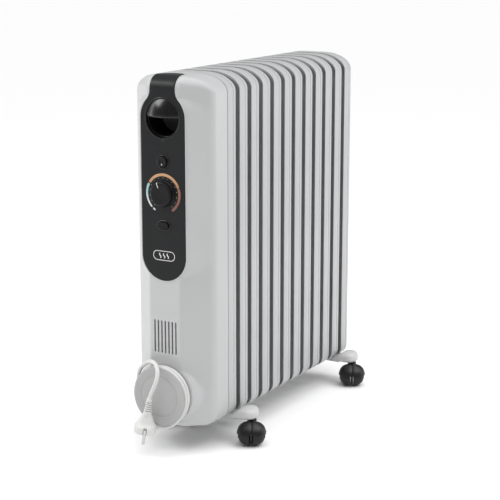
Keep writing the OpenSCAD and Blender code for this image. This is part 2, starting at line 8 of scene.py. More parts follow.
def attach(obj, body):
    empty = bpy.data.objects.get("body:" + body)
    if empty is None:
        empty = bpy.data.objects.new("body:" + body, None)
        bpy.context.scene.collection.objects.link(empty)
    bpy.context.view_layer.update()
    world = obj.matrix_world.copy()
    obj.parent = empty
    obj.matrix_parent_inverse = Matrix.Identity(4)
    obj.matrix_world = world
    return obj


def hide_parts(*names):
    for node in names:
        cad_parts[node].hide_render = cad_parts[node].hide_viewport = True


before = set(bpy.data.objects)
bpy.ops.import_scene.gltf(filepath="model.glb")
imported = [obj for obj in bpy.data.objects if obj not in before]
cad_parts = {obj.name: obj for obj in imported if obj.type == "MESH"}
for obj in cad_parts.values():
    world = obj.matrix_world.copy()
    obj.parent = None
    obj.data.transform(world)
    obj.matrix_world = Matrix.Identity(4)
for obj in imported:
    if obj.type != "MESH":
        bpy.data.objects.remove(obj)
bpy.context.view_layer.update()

MM = 0.001

# Sizes in millimetres, as in part.scad, apart from FIN_LOW, which is 52 there, and HUB_R, which is 7
FACE_Y = -256.5
JOINT_Y = -177.5
FIN1_Y = -164.0
FIN_PITCH = 39.0
FIN_COUNT = 12
FIN_HALF = 77.0
FIN_LOW = 48.0
FIN_TOP = 643.0
TOP_CORNER_W = 55.0
TOP_CORNER_H = 30.0
LOW_CORNER = 20.0
PANEL_R = 43.0
PANEL_LOW_Z = 344.0
RECESS_Z = 574.0
BUTTON_Z = 502.0
DIAL_Z = 449.0
POWER_Z = 395.5
WINDER_Z = 104.0
CORD_D = 7.0
BAR_Y = (-144.5, 245.5)
STEM_X = 104.0
TRAIL = 15.0
CASTER_TURNS = (-63.0, -20.0, -63.0, 243.0)
WHEEL_R = 20.0
WHEEL_OUT = 23.6
HUB_R = 6.5
HEADER_Z = (94.0, 583.0)

# The lead's free end, from the winding to the plug: X, distance from the housing's face, Z
TAIL_ROUTE = (
    (-47, -13, 104), (-47, -13, 114), (-47.5, -13, 124), (-47, -13, 134), (-43.5, -13, 144), (-37, -13, 152),
    (-28, -14, 158.5), (-18, -17, 162), (-8, -21.5, 161.5), (0, -27, 157), (5, -32.5, 149), (6, -37, 139.5),
    (4, -40, 130), (0.5, -41, 121.5), (-3, -41, 114), (-6, -41, 106),
)
PLUG_TOP = Vector((-6, FACE_Y - 41, 106))
PLUG_LEAN = Euler((math.radians(-2), math.radians(9), 0))
RELIEF_L = 28.0
PLUG_L = 34.0
PIN_TURN = 31.0


# ---- Small helpers ----
def mix(a, b, t):
    return a + (b - a) * t


def smooth(t):
    t = min(max(t, 0.0), 1.0)
    return t * t * (3 - 2 * t)


def steps(a, b, n):
    """n + 1 numbers from a to b"""
    return [mix(a, b, i / n) for i in range(n + 1)]


def blended(keys, x):
    """The value at x on straight lines through (place, value) keys"""
    if x <= keys[0][0]:
        return keys[0][1]
    for (x0, y0), (x1, y1) in zip(keys, keys[1:]):
        if x <= x1:
            return mix(y0, y1, (x - x0) / (x1 - x0))
    return keys[-1][1]


def spline(points, per):
    """Catmull-Rom through the points, per steps between each two"""
    pts = [Vector(p) for p in points]
    pts = [2 * pts[0] - pts[1]] + pts + [2 * pts[-1] - pts[-2]]
    out = []
    for a, b, c, d in zip(pts, pts[1:], pts[2:], pts[3:]):
        for i in range(per):
            t = i / per
            out.append(0.5 * ((2 * b) + (c - a) * t + (2 * a - 5 * b + 4 * c - d) * t * t
                              + (3 * b - a - 3 * c + d) * t * t * t))
    out.append(pts[-2].copy())
    return out


class Shape:
    """Points in millimetres and the faces between them."""

    def __init__(self):
        self.points = []
        self.faces = []

    def grid(self, rows, wrap=False, closed=False, skip=None):
        """Quads between rows of one length

        wrap joins each row's ends, and closed joins the last row to the first.
        """
        base = len(self.points)
        n, m = len(rows[0]), len(rows)
        for row in rows:
            self.points.extend(Vector(p) for p in row)
        for j in range(m if closed else m - 1):
            for i in range(n if wrap else n - 1):
                if skip and skip(j, i):
                    continue
                k, right = (j + 1) % m, (i + 1) % n
                self.faces.append((base + j * n + i, base + j * n + right, base + k * n + right,
                                   base + k * n + i))
        return self

    def cap(self, ring):
        """One flat face over a ring of points"""
        base = len(self.points)
        self.points.extend(Vector(p) for p in ring)
        self.faces.append(tuple(range(base, base + len(ring))))
        return self

    def loft(self, rings):
        """A closed solid through rings of points, flat at both ends"""
        return self.grid(rings, wrap=True).cap(rings[0]).cap(rings[-1])

    def add(self, other):
        """Takes in another shape's points and faces"""
        base = len(self.points)
        self.points += other.points
        self.faces += [tuple(i + base for i in face) for face in other.faces]
        return self

    def moved(self, matrix):
        self.points = [matrix @ p for p in self.points]
        return self


def lathe(profile, n=64, start=0.0, turn=360.0):
    """A profile of (radius, height) turned round local Z"""
    whole = abs(turn - 360) < 1e-6
    angles = [math.radians(start + turn * i / n) for i in range(n if whole else n + 1)]
    rows = [[(r * math.cos(a), r * math.sin(a), h) for a in angles] for r, h in profile]
    return Shape().grid(rows, wrap=whole)


def arc(cx, cy, r, a0, a1, n):
    """Points on an arc, angles in degrees"""
    turns = [math.radians(a) for a in steps(a0, a1, n)]
    return [(cx + r * math.cos(t), cy + r * math.sin(t)) for t in turns]


# Local +Z points out of the front face, local +Y up
def on_face(z, out=0.0):
    return Matrix.Translation((0, FACE_Y - out, z)) @ Matrix.Rotation(math.radians(90), 4, "X")


def build(name, shape, slot, body="housing", replaces=(), bend=38, tidy=True, mods=(), at=None):
    """Makes a piece from its shape, with its modifiers applied, and ties it to its body

    Edges that turn by more than bend degrees are sharp.
    """
    made = bmesh.new()
    verts = [made.verts.new(p * MM) for p in shape.points]
    for face in shape.faces:
        made.faces.new([verts[i] for i in face])
    bmesh.ops.remove_doubles(made, verts=made.verts, dist=2e-6)
    bmesh.ops.dissolve_degenerate(made, edges=made.edges, dist=1e-6)
    if tidy:
        bmesh.ops.recalc_face_normals(made, faces=made.faces)
    mesh = bpy.data.meshes.new(name)
    made.to_mesh(mesh)
    made.free()
    piece = bpy.data.objects.new(name, mesh)
    bpy.context.scene.collection.objects.link(piece)
    for kind, values in mods:
        modifier = piece.modifiers.new(kind.lower(), kind)
        for key, value in values.items():
            setattr(modifier, key, value)
    if mods:
        seen = piece.evaluated_get(bpy.context.evaluated_depsgraph_get())
        applied = bpy.data.meshes.new_from_object(seen)
        piece.modifiers.clear()
        piece.data = applied
        mesh = applied
    made = bmesh.new()
    made.from_mesh(mesh)
    limit = math.radians(bend)
    for edge in made.edges:
        if len(edge.link_faces) == 2:
            edge.smooth = edge.calc_face_angle(0) < limit
    for face in made.faces:
        face.smooth = True
    made.to_mesh(mesh)
    made.free()
    mesh.materials.clear()
    mesh.materials.append(LOOKS[slot])
    return finish_piece(piece, body, replaces, at)


def finish_piece(piece, body, replaces=(), at=None):
    if at is not None:
        piece.location = Vector(at) * MM
    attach(piece, body)
    if replaces:
        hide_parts(*replaces)
    return piece


# ---- Materials ----
def look(name, colour, rough, metal=0.0, grain=900.0, relief=0.012, blotch=9.0, shade=0.035,
         coat=0.0, specular=0.5, band=0.04):
    """A surface with a slight colour drift, uneven gloss and a fine relief in millimetres"""
    material = bpy.data.materials.new(name)
    material.use_nodes = True
    nodes, links = material.node_tree.nodes, material.node_tree.links
    shader = nodes["Principled BSDF"]
    shader.inputs["Metallic"].default_value = metal
    shader.inputs["Specular IOR Level"].default_value = specular
    shader.inputs["Coat Weight"].default_value = coat
    shader.inputs["Coat Roughness"].default_value = 0.12
    place = nodes.new("ShaderNodeTexCoord").outputs["Object"]

    def noise(scale, detail):
        made = nodes.new("ShaderNodeTexNoise")
        made.inputs["Scale"].default_value = scale
        made.inputs["Detail"].default_value = detail
        links.new(place, made.inputs["Vector"])
        return made.outputs["Fac"]

    drift = noise(blotch, 3)
    ramp = nodes.new("ShaderNodeValToRGB")
    ramp.color_ramp.elements[0].position = 0.3
    ramp.color_ramp.elements[1].position = 0.7
    ramp.color_ramp.elements[0].color = [c * (1 - shade) for c in colour] + [1]
    ramp.color_ramp.elements[1].color = [min(c * (1 + shade / 2), 1) for c in colour] + [1]
    links.new(drift, ramp.inputs["Fac"])
    links.new(ramp.outputs["Color"], shader.inputs["Base Color"])
    gloss = nodes.new("ShaderNodeMapRange")
    gloss.inputs["From Min"].default_value = 0.3
    gloss.inputs["From Max"].default_value = 0.7
    gloss.inputs["To Min"].default_value = max(rough - band, 0.02)
    gloss.inputs["To Max"].default_value = rough + band
    links.new(noise(blotch * 6, 2), gloss.inputs["Value"])
    links.new(gloss.outputs["Result"], shader.inputs["Roughness"])
    bump = nodes.new("ShaderNodeBump")
    bump.inputs["Strength"].default_value = 1.0
    bump.inputs["Distance"].default_value = relief * MM
    links.new(noise(grain, 2), bump.inputs["Height"])
    links.new(bump.outputs["Normal"], shader.inputs["Normal"])
    return material


def scale_look():
    """The dial's print: the hue follows the angle round the dial's centre"""
    material = look("scale_print", (0.5, 0.3, 0.16), 0.42, grain=2500, relief=0.006)
    nodes, links = material.node_tree.nodes, material.node_tree.links
    place = nodes.new("ShaderNodeTexCoord").outputs["Object"]
    apart = nodes.new("ShaderNodeSeparateXYZ")
    links.new(place, apart.inputs["Vector"])
    height = nodes.new("ShaderNodeMath")
    height.operation = "SUBTRACT"
    height.inputs[1].default_value = DIAL_Z * MM
    links.new(apart.outputs["Z"], height.inputs[0])
    # Straight down is 0 and the run goes clockwise, from cold on the left to hot on the right
    angle = nodes.new("ShaderNodeMath")
    angle.operation = "ARCTAN2"
    links.new(apart.outputs["X"], angle.inputs[0])
    links.new(height.outputs[0], angle.inputs[1])
    run = nodes.new("ShaderNodeMapRange")
    run.inputs["From Min"].default_value = -math.pi
    run.inputs["From Max"].default_value = math.pi
    links.new(angle.outputs[0], run.inputs["Value"])
    ramp = nodes.new("ShaderNodeValToRGB")
    ramp.color_ramp.elements[0].position = 0.0
    ramp.color_ramp.elements[0].color = (0.61, 0.62, 0.62, 1)
    ramp.color_ramp.elements[1].position = 1.0
    ramp.color_ramp.elements[1].color = (0.3, 0.11, 0.11, 1)
    colours = (
        (0.15, (0.61, 0.62, 0.62, 1)), (0.21, (0.49, 0.57, 0.58, 1)), (0.27, (0.31, 0.51, 0.54, 1)),
        (0.336, (0.3, 0.48, 0.51, 1)), (0.338, (0.41, 0.22, 0.11, 1)), (0.42, (0.54, 0.3, 0.16, 1)),
        (0.62, (0.51, 0.27, 0.13, 1)), (0.69, (0.39, 0.19, 0.09, 1)), (0.70, (0.26, 0.12, 0.074, 1)),
        (0.85, (0.21, 0.082, 0.061, 1)),
    )
    for position, colour in colours:
        ramp.color_ramp.elements.new(position).color = colour
    links.new(run.outputs["Result"], ramp.inputs["Fac"])
    links.new(ramp.outputs["Color"], nodes["Principled BSDF"].inputs["Base Color"])
    return material


LOOKS = {
    "fin_enamel": look("fin_enamel", (0.43, 0.435, 0.44), 0.36, grain=700, relief=0.012, coat=0.1,
                       specular=0.4),
    "bar_enamel": look("bar_enamel", (0.44, 0.445, 0.45), 0.40, grain=700, relief=0.015),
    "housing_white": look("housing_white", (0.46, 0.463, 0.467), 0.33, grain=1300, relief=0.008, shade=0.02,
                          specular=0.4),
    "cap_white": look("cap_white", (0.52, 0.52, 0.52), 0.36, grain=1300, relief=0.01),
    "disc_grey": look("disc_grey", (0.37, 0.37, 0.37), 0.38, grain=1300, relief=0.01, shade=0.03),
    "panel_black": look("panel_black", (0.011, 0.0115, 0.0125), 0.38, grain=2200, relief=0.006, blotch=14,
                        specular=0.2),
    "gloss_black": look("gloss_black", (0.005, 0.005, 0.006), 0.24, grain=900, relief=0.002, band=0.02,
                        specular=0.35),
    "knob_black": look("knob_black", (0.006, 0.006, 0.007), 0.36, grain=2600, relief=0.010, specular=0.2),
    "scale_print": scale_look(),
    "badge_white": look("badge_white", (0.66, 0.66, 0.65), 0.4, grain=2500, relief=0.004),
    "caster_black": look("caster_black", (0.008, 0.008, 0.009), 0.36, grain=1500, relief=0.014,
                         specular=0.35),
    "wheel_black": look("wheel_black", (0.009, 0.009, 0.010), 0.45, grain=1500, relief=0.02, specular=0.3),
    "cord_white": look("cord_white", (0.60, 0.60, 0.59), 0.42, grain=1800, relief=0.015),
    "plug_white": look("plug_white", (0.60, 0.60, 0.59), 0.40, grain=1800, relief=0.012),
    "pin_nickel": look("pin_nickel", (0.48, 0.47, 0.46), 0.24, metal=1.0, grain=3000, relief=0.002),
    "zinc_steel": look("zinc_steel", (0.55, 0.56, 0.57), 0.38, metal=1.0, grain=1200, relief=0.01,
                       blotch=60, shade=0.12),
    "element_steel": look("element_steel", (0.25, 0.25, 0.26), 0.45, metal=1.0, grain=1200, relief=0.01,
                          shade=0.1),
    "brass_flange": look("brass_flange", (0.62, 0.46, 0.22), 0.3, metal=1.0, grain=1600, relief=0.006,
                         shade=0.1),
    "ceramic_ivory": look("ceramic_ivory", (0.66, 0.61, 0.50), 0.5, grain=1200, relief=0.01),
    "wire_brown": look("wire_brown", (0.20, 0.09, 0.04), 0.45, grain=1500, relief=0.01),
}
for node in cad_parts.values():
    for held in node.material_slots:
        held.material = LOOKS[held.material.name.split(".")[0]]


# ---- Camera ----
CAMERA_PLACE = (1328.8, -2251.7, 891.7)
CAMERA_DOWN = 12.67
CAMERA_ROUND = 30.25


def camera():
    data = bpy.data.cameras.new("camera")
    data.lens = 106.07
    data.sensor_width = 36
    seen = bpy.data.objects.new("camera", data)
    seen.location = Vector(CAMERA_PLACE) * MM
    seen.rotation_euler = (math.radians(90 - CAMERA_DOWN), 0, math.radians(CAMERA_ROUND))
    bpy.context.scene.collection.objects.link(seen)
    bpy.context.scene.camera = seen


camera()


# ---- Mains lead ----
# Each turn's radius, distance from the housing's face and how far its lowest point hangs below the round
WINDING = ((33, -5, 0), (33, -13, 0), (40, -13, 0), (40, -5, 0), (47, -5, 5), (47, -13, 9))


def winding_route():
    """Six turns on the drum in three layers, back and front strand by turns, clockwise from the front"""
    per_turn = 48
    shift_from = 0.66
    route = []
    for turn, (radius, out, slack) in enumerate(WINDING):
        after = WINDING[min(turn + 1, len(WINDING) - 1)]
        for i in range(per_turn):
            t = i / per_turn
            k = smooth((t - shift_from) / (1 - shift_from))
            r = mix(radius, after[0], k)
            o = mix(out, after[1], k)
            a = math.radians(180 - 360 * t)
            hang = slack * max(-math.sin(a), 0) ** 2
            route.append((r * math.cos(a), FACE_Y + o, WINDER_Z + r * math.sin(a) - hang))
    return route


def lead():
    tail = [tuple(p) for p in spline([(x, FACE_Y + y, z) for x, y, z in TAIL_ROUTE], 6)]
    route = winding_route() + tail
    data = bpy.data.curves.new("mains_lead", "CURVE")
    data.dimensions = "3D"
    data.bevel_depth = CORD_D / 2 * MM
    data.bevel_resolution = 5
    data.use_fill_caps = True
    line = data.splines.new("POLY")
    line.points.add(len(route) - 1)
    for point, p in zip(line.points, route):
        point.co = (p[0] * MM, p[1] * MM, p[2] * MM, 1)
    line.use_smooth = True
    piece = bpy.data.objects.new("mains_lead", data)
    bpy.context.scene.collection.objects.link(piece)
    data.materials.append(LOOKS["cord_white"])
    finish_piece(piece, "housing", ("cord_winding", "cord_tail"))
    length = sum((Vector(b) - Vector(a)).length for a, b in zip(route, route[1:])) * MM
    return piece, length


mains_lead, lead_length = lead()


def on_plug():
    return Matrix.Translation(PLUG_TOP) @ PLUG_LEAN.to_matrix().to_4x4()


def plug_pieces():
    """Ribbed sleeve, moulded plug with its side clips, and two pins, hanging from the lead's end"""
    ribs = [(0, 0), (4.3, 0), (4.75, -0.4), (4.9, -5.5)]
    for i in range(5):
        z = -6.2 - i * 3.7
        r = 5.1 + i * 0.36
        ribs += [(r, z), (r - 1.9, z - 0.3), (r - 1.9, z - 1.5), (r + 0.2, z - 1.8), (r + 0.4, z - 3.3)]
    ribs += [(7.1, -25.2), (7.6, -RELIEF_L - 0.6), (0, -RELIEF_L - 0.6)]
    sleeve = build("strain_relief", lathe(ribs, 40).moved(on_plug()), "plug_white",
                   replaces=("plug_relief",), bend=50)

    angles = sorted({round(a, 2) for a in
                     [i * 5.0 for i in range(72)]
                     + [c + d for c in (90, 270) for d in (-10.5, -9.8, -9.2, 9.2, 9.8, 10.5)]})
    outline = ((0.0, 16.8), (0.35, 17.9), (1.2, 18.7), (2.4, 19.0), (6, 19.0), (11, 18.9), (12.6, 18.6),
               (14.0, 17.9), (16.5, 16.3), (19.5, 14.6), (22.5, 13.3), (25.5, 12.0), (28.5, 10.6),
               (31.0, 9.5), (33.0, 8.6), (34.0, 7.9))
    rows = []
    for h, r in outline:
        flat = smooth((h - 11) / 6) * (1 - smooth((h - 30) / 5))
        notch = 1 - smooth((h - 12.2) / 0.8)
        row = []
        for a in angles:
            off = min(abs(a - 90), abs(a - 270))
            c = abs(math.sin(math.radians(a)))
            reach = r - 3.4 * flat * c ** 3 - 1.2 * flat * (1 - c) ** 2
            depth = 3.0 * notch * (1 - smooth((off - 9.2) / 1.3))
            reach -= depth
            turn = math.radians(a + PIN_TURN)
            row.append((reach * math.cos(turn), reach * math.sin(turn), h - RELIEF_L - PLUG_L))
        rows.append(row)
    body = build("plug", Shape().loft(rows).moved(on_plug()), "plug_white", replaces=("plug_body",), bend=42)

    pins = Shape()
    pin_off = 9.5
    for side in (-1, 1):
        profile = [(0, 1.5), (2.4, 1.5), (2.4, -16.2), (2.25, -17.4), (1.8, -18.4), (1.0, -18.9), (0, -19)]
        pin = lathe(profile, 24)
        turn = math.radians(PIN_TURN)
        x, y = -math.sin(turn) * side * pin_off, math.cos(turn) * side * pin_off
        at = Matrix.Translation((x, y, -RELIEF_L - PLUG_L))
        pins.add(pin.moved(on_plug() @ at))
    pins = build("plug_pins_pair", pins, "pin_nickel", replaces=("plug_pins",))

    clips = Shape()
    for side in (90, 270):
        rows = []
        for h, r in ((-0.2, 13.5), (-0.2, 16.2), (1.0, 17.0), (9, 17.0), (11.4, 16.4), (12.6, 15.0)):
            across = []
            for s in (-2.1, -1.9, 1.9, 2.1):
                edge = 0.25 if abs(s) > 2 else 0
                turn = math.radians(side + PIN_TURN)
                x, y = r - edge, s
                across.append((x * math.cos(turn) - y * math.sin(turn),
                               x * math.sin(turn) + y * math.cos(turn), h - RELIEF_L - PLUG_L))
            rows.append(across)
        clips.grid(rows)
    thick = ("SOLIDIFY", {"thickness": 0.6 * MM, "offset": 0})
    clips = build("plug_clips", clips.moved(on_plug()), "pin_nickel", tidy=False, mods=(thick,))
    return [sleeve, body, pins, clips]


plug_parts = plug_pieces()


# ---- Outline that the fins and the housing share ----
def low_corner(angle, inset):
    c, s = math.cos(math.radians(angle)), math.sin(math.radians(angle))
    r = LOW_CORNER - inset
    return FIN_HALF - LOW_CORNER + r * c, FIN_LOW + LOW_CORNER + r * s


def top_corner(angle, inset):
    c, s = math.cos(math.radians(angle)), math.sin(math.radians(angle))
    return (FIN_HALF - TOP_CORNER_W + (TOP_CORNER_W - inset) * c,
            FIN_TOP - TOP_CORNER_H + (TOP_CORNER_H - inset) * s)


def outline(inset, low=10, top=18, side=8):
    """The whole outline, counterclockwise seen from the front, drawn in by inset"""
    right = [low_corner(a, inset) for a in steps(-90, 0, low)]
    x, z0 = right[-1]
    z1 = top_corner(0, inset)[1]
    right += [(x, z) for z in steps(z0, z1, side)[1:-1]]
    right += [top_corner(a, inset) for a in steps(0, 90, top)]
    left = [(-x, z) for x, z in reversed(right)]
    return right + [(0.0, right[-1][1])] + left + [(0.0, right[0][1])]


# ---- Fins ----
def fin_rim():
    """Edge band: flat front half with a thin lip, seam, rear half rolled inward, and the inner side"""
    outside = [(-13.5, 0.8), (-13.3, 0.25), (-12.8, 0.0), (-9.0, 0.0), (-3.0, 0.0), (2.9, 0.0),
               (3.3, 0.15), (3.6, 0.95), (4.4, 0.95), (4.8, 0.25), (5.4, 0.12), (8.0, 0.10), (10.6, 0.15),
               (12.0, 0.4), (12.9, 1.0), (13.4, 1.9), (13.5, 3.2), (13.5, 7.6), (13.2, 8.2)]
    inside = [(12.5, 8.1), (12.2, 5.2), (12.0, 3.0), (11.2, 2.0), (9.2, 1.6), (5.4, 1.6), (4.7, 2.3),
              (3.3, 2.3), (2.4, 1.5), (-9.0, 1.5), (-13.2, 1.5)]
    rows = []
    # On top, the lip's rows lie deeper than elsewhere
    lip_deep = 3.2
    last = len(outside) + len(inside) - 1
    lips = {0: lip_deep, last: lip_deep, last - 1: lip_deep}
    for i, (y, inset) in enumerate(outside + inside):
        deeper = lips.get(i, 0.0)
        plain = outline(inset)
        deep = outline(inset + deeper) if deeper else plain
        row = []
        for (x, z), (x1, z1) in zip(plain, deep):
            k = smooth((z - FIN_TOP + TOP_CORNER_H) / 22)
            row.append((mix(x, x1, k), y, mix(z, z1, k)))
        rows.append(row)
    return rows


def web_height(x, z):
    """How far the pressed sheet stands out from the fin's middle plane"""
    middle_z = 347.5
    chamber_half_w, chamber_half_h, chamber_flank = 38.0, 251.0, 9.0
    channel_x, channel_half_h, channel_flank = 17.5, 115.0, 5
    sheet, chamber_out, channel_in = 1.2, 4.6, 3.2
    dx = max(abs(x) - chamber_half_w, 0.0)
    dz = max(abs(z - middle_z) - chamber_half_h, 0.0)
    chamber = 1 - smooth((math.hypot(dx, dz) - 6) / chamber_flank)
    height = sheet + chamber_out * chamber
    for cx in (-channel_x, channel_x):
        px = abs(x - cx)
        pz = max(abs(z - middle_z) - channel_half_h, 0.0)
        height -= channel_in * (1 - smooth((math.hypot(px, pz) - 4) / channel_flank)) * chamber
    for hub in HEADER_Z:
        d = math.hypot(x, z - hub)
        height += 0.9 * (1 - smooth((d - 19) / 2)) * (1 - 0.8 * (1 - smooth((d - 13) / 3)))
    return height


def fin_web(shape):
    inset = 1.6
    zs = [low_corner(a, inset)[1] for a in steps(-90, 0, 5)]
    zs += steps(zs[-1], top_corner(0, inset)[1], 118)[1:-1]
    zs += [top_corner(a, inset)[1] for a in steps(0, 90, 8)]
    spread = [-1, -0.9, -0.8, -0.72] + steps(-0.66, 0.66, 30) + [0.72, 0.8, 0.9, 1]
    for side in (-1, 1):
        rows = []
        for z in zs:
            half = half_width(z, inset)
            rows.append([(half * s, side * web_height(half * s, z), z) for s in spread])
        shape.grid(rows)


def half_width(z, inset):
    """Half the outline's width at a height"""
    low_z = FIN_LOW + LOW_CORNER
    top_z = FIN_TOP - TOP_CORNER_H
    if z < low_z:
        r = LOW_CORNER - inset
        return FIN_HALF - LOW_CORNER + math.sqrt(max(r * r - (low_z - z) ** 2, 0.0))
    if z > top_z:
        k = min((z - top_z) / (TOP_CORNER_H - inset), 1.0)
        return FIN_HALF - TOP_CORNER_W + (TOP_CORNER_W - inset) * math.sqrt(1 - k * k)
    return FIN_HALF - inset


def fins():
    shape = Shape().grid(fin_rim(), wrap=True, closed=True)
    fin_web(shape)
    first = build("fin_sheet_01", shape, "fin_enamel", replaces=("fin_01",), bend=45, at=(0, FIN1_Y, 0))
    for i in range(1, FIN_COUNT):
        copy = bpy.data.objects.new(f"fin_sheet_{i + 1:02d}", first.data)
        bpy.context.scene.collection.objects.link(copy)
        finish_piece(copy, "housing", (f"fin_{i + 1:02d}",), (0, FIN1_Y + i * FIN_PITCH, 0))


fins()


# ---- Control housing ----
SLANT = 36.5 / 46.5
SLANT_ANGLE = math.atan(SLANT)
FLAT_HALF = 30.5
FLAT_R = 9.0
GRID_INSET = 10.0
SIDE_EDGE_R = 7.5
TOP_EDGE_R = 22.0
VENT_PITCH = 6.97
VENT_HALF = 1.4
VENT_Z = (175.0, 231.0)
SHELL_T = 2.6
PLATFORM_R = 46.2
PLATFORM_SLOPE = 27 / 21
BOSS_R = 54.0
BOSS_SLOPE = 30 / 8
SKIN_HOLE_R = 37


def slanted(a):
    """Depth of the plain front at a distance a from the middle"""
    start = FLAT_HALF - FLAT_R * math.tan(SLANT_ANGLE / 2)
    end = start + FLAT_R * math.sin(SLANT_ANGLE)
    if a <= start:
        return 0.0
    if a < end:
        return FLAT_R - math.sqrt(FLAT_R ** 2 - (a - start) ** 2)
    return (a - FLAT_HALF) * SLANT


def bevelled(d, slope, r):
    """A flat, then a rounded edge of radius r, then a slope"""
    angle = math.atan(slope)
    start = -r * math.tan(angle / 2)
    end = start + r * math.sin(angle)
    if d <= start:
        return 0.0
    if d < end:
        return r - math.sqrt(r * r - (d - start) ** 2)
    return d * slope


def soft_min(a, b, reach):
    k = min(reach, min(a, b) * 1.2)
    if k < 1e-6:
        return min(a, b)
    h = max(k - abs(a - b), 0.0) / k
    return min(a, b) - h * h * k / 4


def edge_rounding(x, z):
    """How far the front falls back near the outline: a small radius at the sides, a large one on top"""
    a = abs(x)
    flat = FIN_HALF - TOP_CORNER_W
    level = FIN_TOP - TOP_CORNER_H
    share = 0.0
    if z <= level:
        inset = FIN_HALF - a
    elif a <= flat:
        inset = FIN_TOP - z
        share = 1.0
    else:
        low, high = 0.0, TOP_CORNER_H - 0.5
        for _ in range(24):
            inset = (low + high) / 2
            share = (z - level) / (TOP_CORNER_H - inset)
            if ((a - flat) / (TOP_CORNER_W - inset)) ** 2 + share ** 2 > 1:
                high = inset
            else:
                low = inset
    r = mix(SIDE_EDGE_R, TOP_EDGE_R, min(share, 1.0) ** 2)
    inset = min(max(inset, 0.0), r)
    return r - math.sqrt(max(r * r - (r - inset) ** 2, 0.0))


def front_depth(x, z):
    """How far behind the face's plane the housing's front lies"""
    depth = slanted(abs(x))
    nearest = min(max(z, PANEL_LOW_Z), RECESS_Z)
    platform = bevelled(math.hypot(x, z - nearest) - PLATFORM_R, PLATFORM_SLOPE, 3.5)
    boss = bevelled(math.hypot(x, z - WINDER_Z) - BOSS_R, BOSS_SLOPE, 3.0)
    shape = soft_min(soft_min(depth, platform, 3.0), boss, 3.0)
    return shape + (edge_rounding(x, z) if z > FIN_LOW + LOW_CORNER else 0.0)


def housing_skin():
    left_half = [67, 65.6, 64, 62, 59.5, 57, 54.5, 52, 50, 48.5, 47.2, 46.2, 45.2, 44, 42, 40, 38, 36,
                 34.5, 33, 31.7, 30.4, 29.2, 28.2, 27.2, 26, 24.4]
    vent_x = [i * VENT_PITCH + s * VENT_HALF for i in (-3, -2, -1) for s in (-1, 1)] + [-VENT_HALF]
    xs = [-x for x in left_half] + vent_x
    xs += [-x for x in reversed(xs)]
    full = xs[-1]
    vent_edges = [i * VENT_PITCH - VENT_HALF for i in range(-3, 4)]
    vent_starts = {xs.index(x) for x in xs if any(abs(x - edge_x) < 1e-6 for edge_x in vent_edges)}

    top_z = FIN_TOP - TOP_CORNER_H
    rows = [("low", a, low_corner(a, GRID_INSET)[1]) for a in steps(-90, 0, 6)]
    # Heights from the low corner up and the number of rows between each two
    stretches = ((72, VENT_Z[0], 46), (VENT_Z[0], VENT_Z[1], 20), (VENT_Z[1], 285, 20), (285, 345, 34),
                 (345, 565, 60), (565, top_z, 26))
    level = sorted({round(z, 3) for low_z, high_z, n in stretches for z in steps(low_z, high_z, n)})
    rows += [("side", None, z) for z in level[1:-1]]
    rows += [("top", a, top_corner(a, GRID_INSET)[1]) for a in steps(0, 90, 12)]

    def edge(kind, angle, z, inset):
        if kind == "low":
            return low_corner(angle, inset)
        if kind == "top":
            return top_corner(angle, inset)
        return FIN_HALF - inset, z

    grid = []
    for kind, angle, z in rows:
        half = edge(kind, angle, z, GRID_INSET)[0]
        grid.append([(x * half / full, z) for x in xs])
    vent_rows = {j for j, row in enumerate(rows) if VENT_Z[0] - 1e-6 <= row[2] < VENT_Z[1] - 1e-6}

    def left_out(j, i):
        if j in vent_rows and i in vent_starts:
            return True
        middle = sum((Vector(grid[b][a]) for b in (j, j + 1) for a in (i, i + 1)), Vector((0, 0))) / 4
        return math.hypot(middle.x, middle.y - RECESS_Z) < SKIN_HOLE_R

    points = [[(x, FACE_Y + front_depth(x, z), z) for x, z in row] for row in grid]
    shape = Shape().grid(points, skip=left_out)

    # Once round the grid's edge, counterclockwise seen from the front, as a function of the inset
    def ring(inset, back):
        loop = []
        for x in xs[:-1]:
            loop.append((x * edge(*rows[0], GRID_INSET)[0] / full, FIN_LOW + inset, -1.0))
        for row in rows[:-1]:
            x, z = edge(*row, inset)
            loop.append((x, z, row_lean(row)))
        for x in reversed(xs[1:]):
            loop.append((x * edge(*rows[-1], GRID_INSET)[0] / full, FIN_TOP - inset, 1.0))
        for row in reversed(rows[1:]):
            x, z = edge(*row, inset)
            loop.append((-x, z, row_lean(row)))
        out = []
        for x, z, lean in loop:
            rounding = 0.0
            if z <= FIN_LOW + LOW_CORNER:
                r = SIDE_EDGE_R + 2.0 * lean * lean
                d = min(inset, r)
                rounding = r - math.sqrt(max(r * r - (r - d) ** 2, 0.0))
            y = FACE_Y + front_depth(x, z) + rounding
            out.append((x, mix(y, JOINT_Y - 1.0, back), z))
        return out

    def row_lean(row):
        kind, angle, _ = row
        return 0.0 if kind == "side" else math.sin(math.radians(angle))

    rings = [ring(inset, 0) for inset in (10, 8.6, 7.2, 5.8, 4.5, 3.3, 2.3, 1.5, 0.85, 0.4, 0.1, 0.0)]
    rings += [ring(0, back) for back in (0.25, 0.5, 0.75, 0.96)]
    lip = ring(0.7, 1)
    rings.append([(x, JOINT_Y - 0.6, z) for x, _, z in lip])
    shape.grid([list(reversed(loop)) for loop in rings], wrap=True)
    thick = ("SOLIDIFY", {"thickness": SHELL_T * MM, "offset": -1})
    return build("housing_shell", shape, "housing_white", replaces=("control_housing",), bend=40, tidy=False,
                 mods=(thick,))


housing_skin()


